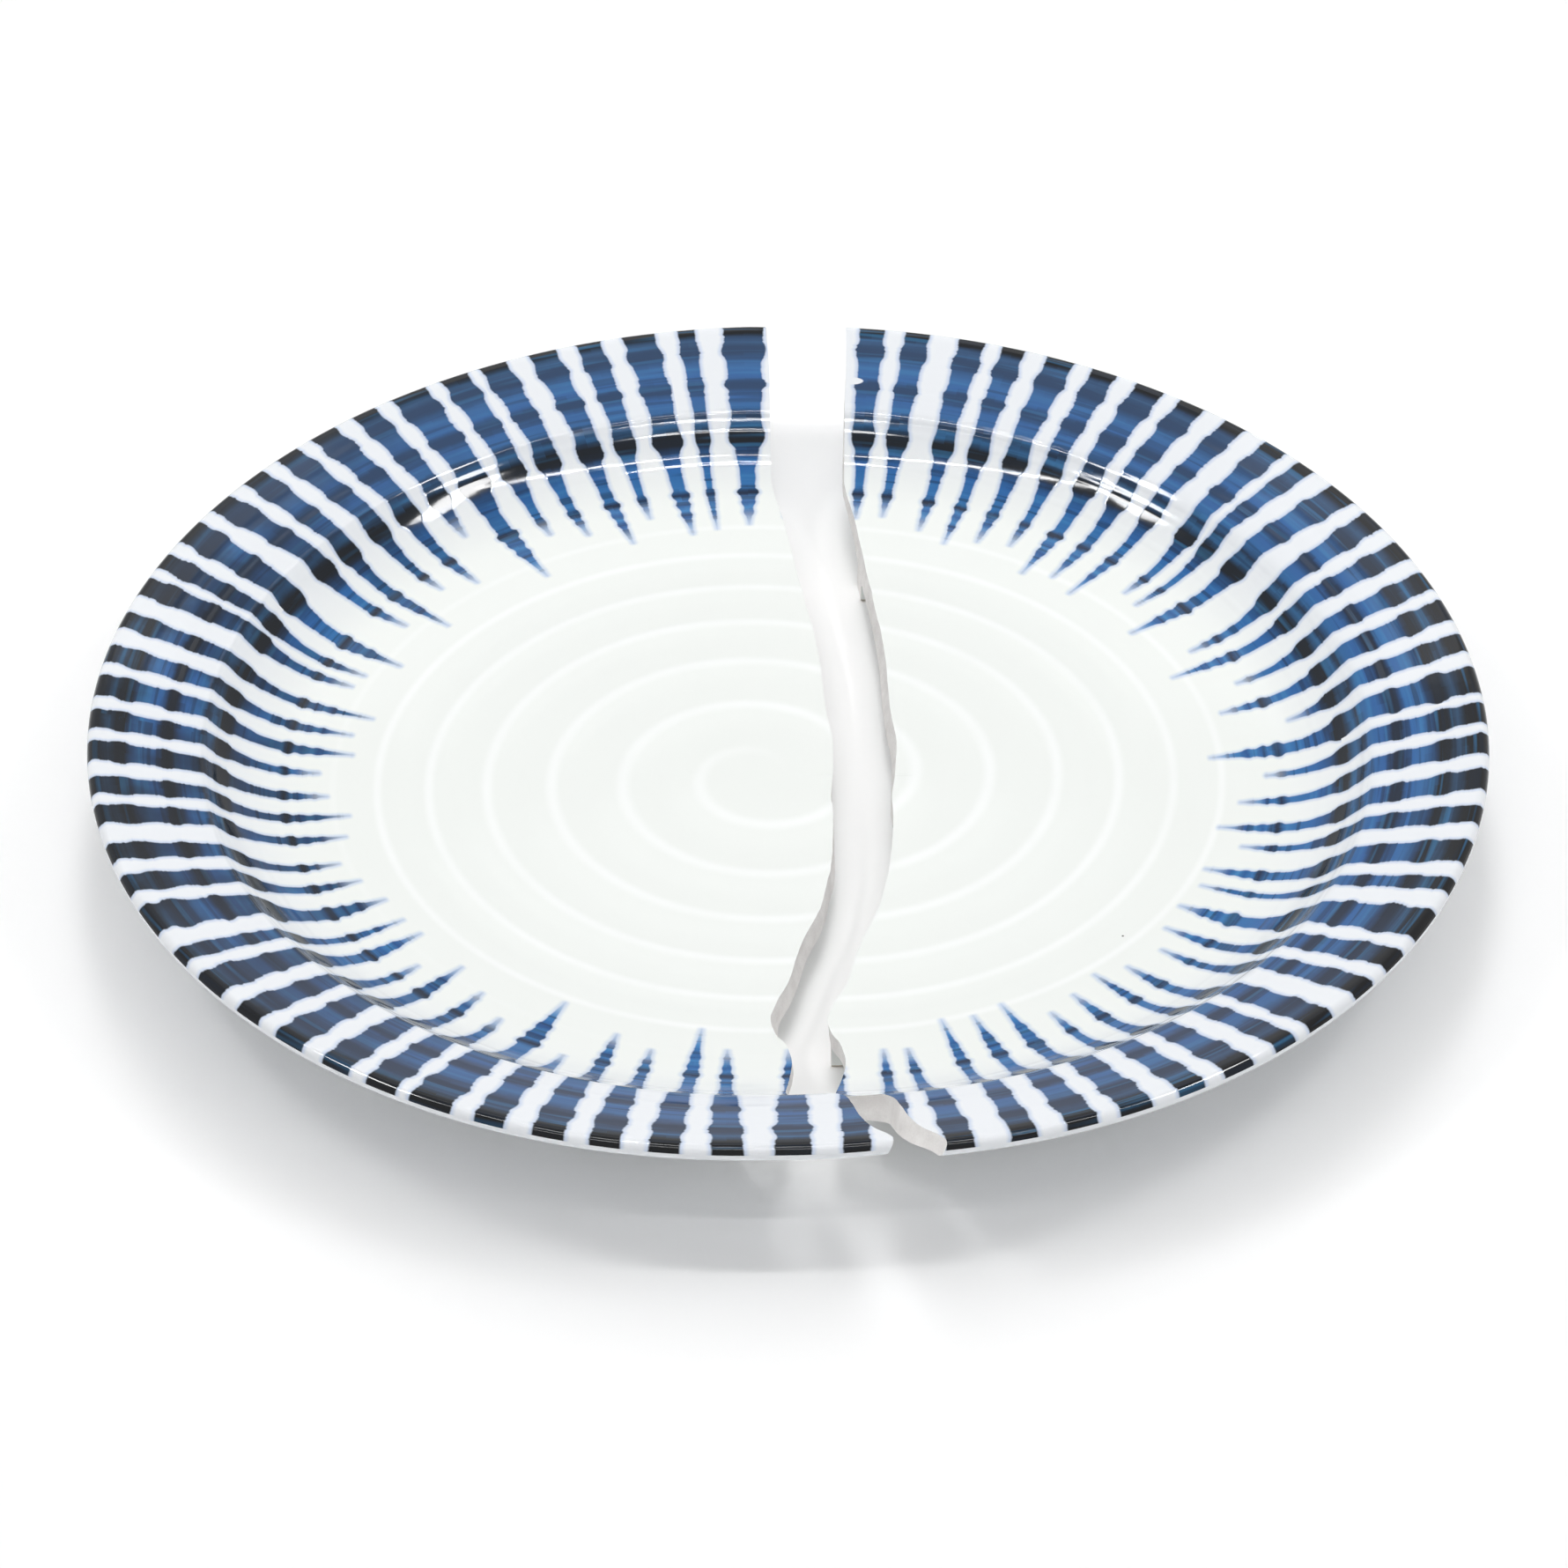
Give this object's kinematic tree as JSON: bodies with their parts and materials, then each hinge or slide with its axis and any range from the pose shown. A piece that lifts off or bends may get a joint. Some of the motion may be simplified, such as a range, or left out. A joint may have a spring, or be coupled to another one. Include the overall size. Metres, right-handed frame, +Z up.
{
  "type": "broken plate",
  "caption": "Round thrown plate with a striped flange, a spiral-ridged well and a foot ring, broken from rim to rim, the halves lying side by side.",
  "frame": {"origin": "on the table, under the middle of the box that holds both halves", "axes": "+X from the left half to the right one, +Y from the near rim to the far one, +Z up"},
  "size_m": [0.2508, 0.24, 0.0267],
  "materials": {
    "porcelain": "glossy clear glaze, opaque body"
  },
  "bodies": {
    "root": {"left_piece": "porcelain", "right_piece": "porcelain"}
  },
  "joints": []
}
